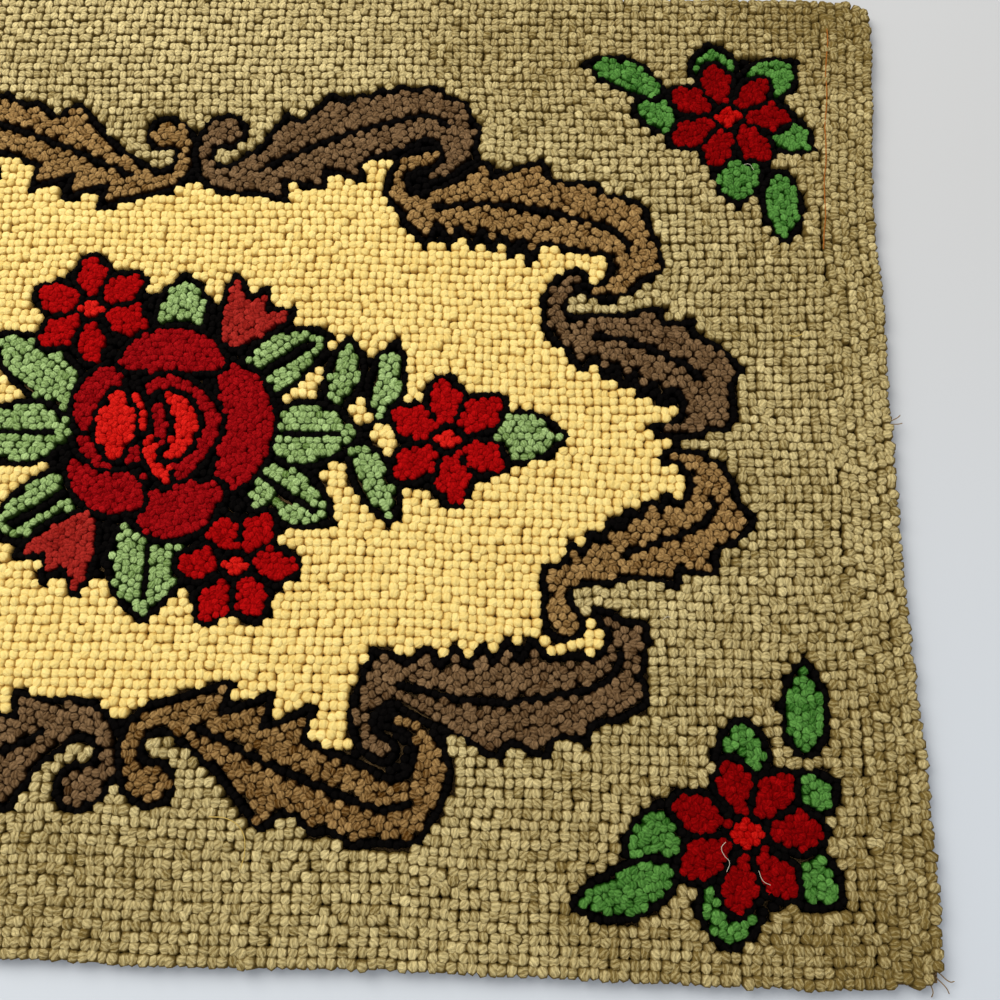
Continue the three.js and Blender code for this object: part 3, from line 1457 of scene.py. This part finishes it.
class LoopForm:
    """The form of one loop: a soft flat-topped pillow, one unit each way from its middle."""

    SIDES = 7
    RINGS = ((0.0, 1.0), (0.8, 0.93), (0.96, 0.62))

    def __init__(self) -> None:
        """Model the loop and read it into arrays."""
        bpy.ops.object.select_all(action="DESELECT")
        bpy.ops.mesh.primitive_circle_add(vertices=self.SIDES, radius=1.0, fill_type="NGON")
        piece = bpy.context.object
        bpy.ops.object.mode_set(mode="EDIT")
        bpy.ops.mesh.select_all(action="SELECT")
        for (low, wide), (high, narrow) in zip(self.RINGS, self.RINGS[1:]):
            bpy.ops.mesh.extrude_region_move(TRANSFORM_OT_translate={"value": (0.0, 0.0, high - low)})
            share = narrow / wide
            bpy.ops.transform.resize(value=(share, share, 1.0), center_override=(0.0, 0.0, high))
        rise = 1.0 - self.RINGS[-1][0]
        bpy.ops.mesh.extrude_region_move(TRANSFORM_OT_translate={"value": (0.0, 0.0, rise)})
        bpy.ops.mesh.merge(type="CENTER")
        bpy.ops.mesh.select_all(action="SELECT")
        bpy.ops.mesh.normals_make_consistent(inside=False)
        bpy.ops.object.mode_set(mode="OBJECT")
        mesh = piece.data
        self.points = np.array([v.co for v in mesh.vertices])
        self.faces = [list(p.vertices) for p in mesh.polygons]
        self.corners = np.concatenate(self.faces)
        self.totals = np.array([len(f) for f in self.faces])
        square = (np.abs(self.points[:, :2]) ** 4).sum(1, keepdims=True)
        round_ = (self.points[:, :2] ** 2).sum(1, keepdims=True) ** 2
        self.points[:, :2] *= (round_ / square.clip(1e-9)) ** 0.16
        # rim runs from 0 at the top to 2 at the foot; the yarn materials paint shade at the foot by it.
        self.rim = np.interp(-self.points[:, 2], (-1.0, -0.96, -0.8, 0.0), (0.0, 0.6, 1.0, 2.0))
        self.chart = self.bake_chart()
        bpy.data.objects.remove(piece)

    def triangles(self) -> int:
        """How many triangles a loop has."""
        return int((self.totals - 2).sum())

    def bake_chart(self) -> Array:
        """A flat map of the loop, corner by corner, with the foot beside the rest.

        Returns:
            A place from 0 to 1 for each corner.
        """
        angle = np.arctan2(self.points[:, 1], self.points[:, 0])
        out = np.interp(self.rim, (0.0, 0.6, 1.0, 2.0), (0.0, 0.5, 0.76, 1.0))
        chart = []
        for face in self.faces:
            for k in face:
                c, s = math.cos(angle[k]), math.sin(angle[k])
                if len(face) > 4:
                    chart.append((0.5 + 0.4 * c, 0.07 + 0.05 * s))
                else:
                    chart.append((0.5 + 0.45 * out[k] * c, 0.56 + 0.41 * out[k] * s))
        return np.array(chart)


@dataclass
class Pile:
    """The hooked pile: every loop of one yarn, joined, in as many pieces as it takes."""

    SIZE_SPREAD = 0.045
    ROUGHNESS = 0.035
    LEAN = 0.07
    TONE_SPREAD = 0.12

    loops: Loops
    form: LoopForm
    rng: np.random.Generator
    pieces: list[bpy.types.Object] = field(default_factory=list)

    def build(self) -> None:
        """Build the pieces, yarn by yarn."""
        for yarn in Yarn:
            mine = self.loops.only(self.loops.yarn == yarn.value)
            parts = max(1, math.ceil(len(mine.xy) * self.form.triangles() / PIECE_TRIANGLES))
            rank = np.argsort(np.argsort(mine.xy[:, 1], kind="stable"), kind="stable")
            band = rank * parts // max(len(mine.xy), 1)
            for k in range(parts):
                name = f"{FINISHES[yarn].name}_pile" + (f"_{k + 1}" if parts > 1 else "")
                self.pieces.append(self.joined(name, yarn, mine.only(band == k)))

    def joined(self, name: str, yarn: Yarn, loops: Loops) -> bpy.types.Object:
        """Join the loops of one piece.

        Args:
            name: The piece's name.
            yarn: Its yarn.
            loops: Its loops.

        Returns:
            The piece.
        """
        gauge, form, rng = GAUGES[yarn], self.form, self.rng
        count, size = len(loops.xy), len(form.points)
        scale = rng.normal(1.0, self.SIZE_SPREAD, (count, 3)).clip(0.84, 1.16)
        scale *= (gauge.spread * gauge.along, gauge.spread * gauge.across, gauge.height)
        points = form.points[None] * scale[:, None]
        points += rng.normal(0, self.ROUGHNESS, points.shape) * (gauge.along, gauge.across, 4.0)
        points[..., :2] += rng.normal(0, self.LEAN, (count, 1, 2)) * points[..., 2:]
        points[..., 2] = points[..., 2].clip(0.0)
        cos, sin = np.cos(loops.turn)[:, None], np.sin(loops.turn)[:, None]
        x = loops.xy[:, :1] + cos * points[..., 0] - sin * points[..., 1]
        y = loops.xy[:, 1:] + sin * points[..., 0] + cos * points[..., 1]
        z = (PILE_FOOT + points[..., 2]).clip(PILE_FOOT, PILE_TOP)
        mesh = bpy.data.meshes.new(name)
        mesh.vertices.add(count * size)
        mesh.vertices.foreach_set("co", (np.stack((x, y, z), -1) * MM).astype(np.float32).ravel())
        corners = (form.corners[None] + size * np.arange(count)[:, None]).ravel()
        totals = np.tile(form.totals, count)
        mesh.loops.add(len(corners))
        mesh.loops.foreach_set("vertex_index", corners.astype(np.int32))
        mesh.polygons.add(len(totals))
        mesh.polygons.foreach_set("loop_start", (np.cumsum(totals) - totals).astype(np.int32))
        mesh.polygons.foreach_set("use_smooth", np.ones(len(totals), bool))
        mesh.update(calc_edges=True)
        cells = math.ceil(math.sqrt(count))
        cell = np.column_stack((np.arange(count) % cells, np.arange(count) // cells))[:, None]
        self.chart(mesh, "OFBake", (form.chart[None] + cell) / cells)
        spin = rng.uniform(0, math.pi, (count, 1))
        flat = form.points[form.corners, :2][None]
        along = np.cos(spin) * flat[..., 0] + np.sin(spin) * flat[..., 1]
        across = np.cos(spin) * flat[..., 1] - np.sin(spin) * flat[..., 0]
        self.chart(mesh, "Strand", np.stack((along, across), -1) + rng.uniform(0, 40, (count, 1, 2)).round(2))
        self.note(mesh, "tone", np.repeat(self.tones(yarn, loops), size))
        # rim drives the painted shade at the foot of each loop.
        self.note(mesh, "rim", np.tile(form.rim, count))
        piece = bpy.data.objects.new(name, mesh)
        bpy.context.scene.collection.objects.link(piece)
        piece["yarn"] = yarn.name
        return piece

    @staticmethod
    def chart(mesh: bpy.types.Mesh, name: str, places: Array) -> None:
        """Add a flat map to a mesh.

        Args:
            mesh: The mesh.
            name: The map's name.
            places: A place for each face corner.
        """
        layer = mesh.uv_layers.new(name=name)
        layer.uv.foreach_set("vector", places.astype(np.float32).ravel())

    @staticmethod
    def note(mesh: bpy.types.Mesh, name: str, values: Array) -> None:
        """Add a number for each vertex of a mesh.

        Args:
            mesh: The mesh.
            name: What the number is called.
            values: The numbers.
        """
        mesh.attributes.new(name, "FLOAT", "POINT").data.foreach_set("value", values.astype(np.float32))

    def tones(self, yarn: Yarn, loops: Loops) -> Array:
        """How light each loop is, from 0 to 1.

        Args:
            yarn: The yarn.
            loops: Its loops.

        Returns:
            The tones.
        """
        tone = self.rng.normal(0.5, self.TONE_SPREAD, len(loops.xy))
        if yarn is Yarn.FIELD:
            x, y = loops.xy.T
            # Field tone: lighter at the upper left, partly the yarn's own dye lots and partly painted light;
            # darker towards the right edge and its corners, the upper right and the bottom, as painted shade.
            right_edge_shade = np.exp(-(((x - 430) / 70) ** 2)) * (0.06 + 0.24 * np.abs(y / 300) ** 3)
            dye_and_light_upper_left = 0.16 * np.exp(-(((x + 60) / 210) ** 2 + ((y - 285) / 70) ** 2))
            tone += dye_and_light_upper_left - right_edge_shade - np.where((x > 150) & (y > 240), 0.08, 0.0)
            tone += 0.06 * np.sin(x / 53 + 1.1 * np.sin(y / 37)) * np.sin(y / 41 + 2.0)
            tone -= np.where(y < -240, 0.05, 0.0) + np.where((x > 240) & (y < -150), 0.07, 0.0)
        elif yarn is Yarn.SCROLL_TAN:
            tone -= np.where(loops.xy[:, 1] < -150, 0.14, 0.0)
        elif yarn in (Yarn.PETAL, Yarn.HEART):
            tone -= np.where(np.abs(loops.xy[:, 0]) > 300, 0.38, 0.0)
        return tone.clip(0.02, 0.98)

    def dress(self) -> None:
        """Give each piece its yarn and tell the frame about it."""
        made = {yarn: finish.material() for yarn, finish in FINISHES.items()}
        for piece in self.pieces:
            yarn = Yarn[piece["yarn"]]
            piece.data.materials.append(made[yarn])
            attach(piece, "root")
            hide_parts("hooked_rug")


@dataclass
class Foundation:
    """The burlap that the loops are hooked through."""

    edge: RugEdge
    top: float = 1.9
    thickness: float = 1.8
    inset: float = 1.2
    length: float = 900
    columns: int = 72
    rows: int = 50
    finish: BurlapFinish = BurlapFinish()
    piece: Any = None

    def build(self) -> None:
        """Shape a grid to the rug's outline and give it a thickness."""
        bpy.ops.object.select_all(action="DESELECT")
        bpy.ops.mesh.primitive_grid_add(x_subdivisions=self.columns, y_subdivisions=self.rows, size=2.0)
        self.piece = bpy.context.object
        self.piece.name = self.piece.data.name = "burlap_foundation"
        u, v = np.array([p.co[:2] for p in self.piece.data.vertices]).T * 0.5 + 0.5
        at = (u - 0.5) * self.length
        low, high = self.edge.reach(Side.NEAR, at), self.edge.reach(Side.FAR, at)
        y = low + (high - low) * v
        left, right = self.edge.reach(Side.LEFT, y), self.edge.reach(Side.RIGHT, y)
        xy = np.column_stack((left + (right - left) * u, y))
        self.edge.hold(xy, self.inset)
        flat = np.column_stack((xy, np.full(len(xy), self.top))) * MM
        self.piece.data.vertices.foreach_set("co", flat.astype(np.float32).ravel())
        thick = self.piece.modifiers.new("thickness", "SOLIDIFY")
        thick.thickness = self.thickness * MM
        thick.offset = -1.0
        bpy.ops.object.modifier_apply(modifier=thick.name)

    def dress(self, with_pieces: list[bpy.types.Object]) -> None:
        """Give it its weave and tell the frame about it.

        Args:
            with_pieces: The pieces on the cloth; not used.
        """
        self.piece.data.materials.append(self.finish.material())
        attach(self.piece, "root")
        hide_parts("hooked_rug")


@dataclass(frozen=True)
class ThreadFinish:
    """A loose thread of one colour, a little uneven."""

    name: str
    slot: str
    dark: Colour
    light: Colour

    def material(self) -> bpy.types.Material:
        """Make the material.

        Returns:
            The material.
        """
        nodes = Nodes(self.name)
        slub = nodes.noise(nodes.place(), 900.0)
        bump = nodes.bump(0.4, 0.0002, slub)
        thread = nodes.mix(slub, self.dark, self.light)
        nodes.surface(Base_Color=thread, Roughness=0.9, Specular_IOR_Level=0.1, Normal=bump)
        return nodes.material


@dataclass
class Strays:
    """Loose ends of one thread that lie on the pile, as rows of points in millimetres."""

    name: str
    finish: ThreadFinish
    radius: float
    runs: tuple[tuple[Point, ...], ...]
    piece: Any = None

    def build(self) -> None:
        """Draw a curve for each run, make it round and join them."""
        made = []
        for run in self.runs:
            bpy.ops.object.select_all(action="DESELECT")
            bpy.ops.curve.primitive_bezier_curve_add()
            drawn = bpy.context.object
            line = drawn.data.splines[0]
            line.bezier_points.add(len(run) - 2)
            for point, place in zip(line.bezier_points, run):
                point.co = Vector(place) * MM
                point.handle_left_type = point.handle_right_type = "AUTO"
            drawn.data.resolution_u = 5
            drawn.data.bevel_depth = self.radius * MM
            drawn.data.bevel_resolution = 1
            drawn.data.use_fill_caps = True
            bpy.ops.object.convert(target="MESH")
            made.append(bpy.context.object)
        for each in made:
            each.select_set(True)
        if len(made) > 1:
            bpy.ops.object.join()
        self.piece = bpy.context.object
        self.piece.name = self.piece.data.name = self.name

    def dress(self) -> None:
        """Give it its colour and tell the frame about it."""
        self.piece.data.materials.append(self.finish.material())
        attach(self.piece, "root")
        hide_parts("hooked_rug")


def strays() -> list[Strays]:
    """The loose threads that show on the rug.

    Returns:
        One piece for each colour of thread.
    """
    rust = ThreadFinish("rust_thread", "foundation", linear(112, 58, 16), linear(176, 108, 40))
    straw = ThreadFinish("straw_thread", "ground_yarn", linear(168, 136, 62), linear(214, 186, 104))
    pale = ThreadFinish("pale_thread", "field_yarn", linear(184, 172, 150), linear(216, 208, 190))
    jute = ThreadFinish("jute_ends", "foundation", linear(92, 70, 40), linear(160, 130, 84))
    seam = tuple(
        (421.0 - 0.071 * (286 - y) + 0.5 * math.sin(y / 7), float(y), 9.9 + 0.4 * math.sin(y / 3.1))
        for y in range(286, 112, -6)
    )
    return [
        Strays("rust_thread", rust, 0.42, (seam,)),
        Strays("straw_thread", straw, 0.26, (
            ((55, -235, 10.0), (66, -236, 10.6), (74, -242, 10.4), (76.5, -252, 10.6), (75, -261, 9.8)),
            ((384, 58, 9.6), (388, 57, 10.3), (392, 59, 9.6)),
        )),
        Strays("pale_thread", pale, 0.13, (
            ((335, -240, 9.6), (332.5, -243, 10.2), (334, -247, 10.4), (336.5, -250, 10.2), (335, -255, 9.6)),
            ((361, 179, 9.6), (364, 179, 10.2), (367, 175, 9.8)),
            ((352, -254, 9.5), (354, -259, 10.2), (358, -261, 9.6)),
            ((303, -121, 9.5), (306, -119, 10.1), (309, -120, 9.6)),
        )),
        Strays("jute_ends", jute, 0.3, (
            ((443, 4, 7.0), (447, 6, 7.4), (449, 8, 6.4)),
            ((443, 2, 6.6), (447, 2, 7.0), (450, 3, 6.0)),
            ((445, -302, 4.0), (450, -306, 4.2), (453, -306, 2.6)),
            ((443, -304, 4.0), (448, -309, 4.0), (450, -312, 2.2)),
            ((439, -306, 4.4), (441, -311, 4.0), (441, -314, 1.6)),
        )),
    ]


@dataclass(frozen=True)
class Studio:
    """Camera, floor and lights."""

    place: Point = (0.22244, -0.21437, 0.57815)
    axes: tuple[Point, ...] = (
        (0.99947, -0.0225, 0.02368),
        (0.02815, 0.96113, -0.27465),
        (-0.01658, 0.27517, 0.96125),
    )

    def build(self) -> None:
        """Set up the picture."""
        scene = bpy.context.scene
        scene.view_settings.view_transform = "Standard"
        self.camera()
        self.floor()
        self.light("window", (-0.9, 0.9, 1.7), (0.1, 0.0, 0.0), 1.5, 53.0, (1.0, 0.98, 0.93))
        self.light("fill", (1.6, -0.9, 1.9), (0.1, 0.0, 0.0), 1.8, 10.0, (0.94, 0.97, 1.0))
        world = bpy.data.worlds.new("room")
        world.use_nodes = True
        sky = world.node_tree.nodes["Background"]
        sky.inputs["Color"].default_value = (0.95, 0.97, 1.0, 1.0)
        sky.inputs["Strength"].default_value = 0.55
        scene.world = world

    def camera(self) -> None:
        """Stand the camera where the photo was taken."""
        data = bpy.data.cameras.new("camera")
        data.lens, data.sensor_width, data.clip_start = 36.0, 36.0, 0.01
        eye = bpy.data.objects.new("camera", data)
        bpy.context.scene.collection.objects.link(eye)
        eye.matrix_world = Matrix.Translation(Vector(self.place)) @ Matrix(self.axes).to_4x4()
        bpy.context.scene.camera = eye

    @staticmethod
    def floor() -> None:
        """Lay a pale floor, painted paler and bluer towards the front as painted light."""
        bpy.ops.object.select_all(action="DESELECT")
        bpy.ops.mesh.primitive_plane_add(size=8.0, location=(0.0, 0.0, -0.0004))
        floor = bpy.context.object
        floor.name = "floor"
        nodes = Nodes("pale_floor")
        place = nodes.place()
        # Painted light: the floor is mixed paler and bluer towards the front.
        toward = nodes.parts(place)[1] * -1.0
        near = toward.ramp(-0.2, 0.3) * 0.9 + nodes.noise(place, 3.0) * 0.1
        nodes.surface(Base_Color=nodes.mix(near, linear(188, 188, 188), linear(194, 199, 205)), Roughness=0.8)
        floor.data.materials.append(nodes.material)

    @staticmethod
    def light(name: str, place: Point, aim: Point, size: float, power: float, colour: Colour) -> None:
        """Hang a soft square light.

        Args:
            name: Its name.
            place: Where it hangs.
            aim: What it is turned to.
            size: Its side, in metres.
            power: Its power, in watts.
            colour: Its colour.
        """
        data = bpy.data.lights.new(name, "AREA")
        data.size, data.energy, data.color = size, power, colour
        lamp = bpy.data.objects.new(name, data)
        bpy.context.scene.collection.objects.link(lamp)
        lamp.location = place
        lamp.rotation_euler = (Vector(aim) - Vector(place)).to_track_quat("-Z", "Y").to_euler()


def main() -> None:
    """Build the rug, dress it and set up the picture."""
    logging.basicConfig(level=logging.INFO, format="%(message)s")
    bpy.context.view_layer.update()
    edge = RugEdge(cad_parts["hooked_rug"])
    layout = Layout(edge)
    loops = layout.lay()
    log.info("loops laid: %d", len(loops.xy))
    foundation = Foundation(edge)
    foundation.build()
    pile = Pile(loops, LoopForm(), layout.rng)
    pile.build()
    pile.dress()
    loose = strays()
    for stray in loose:
        stray.build()
        stray.dress()
    on_it = pile.pieces + [stray.piece for stray in loose]
    foundation.dress(on_it)
    for piece in [foundation.piece, *on_it]:
        log.info("%s: %d faces", piece.name, len(piece.data.polygons))
    Studio().build()


if __name__ == "__main__":
    main()
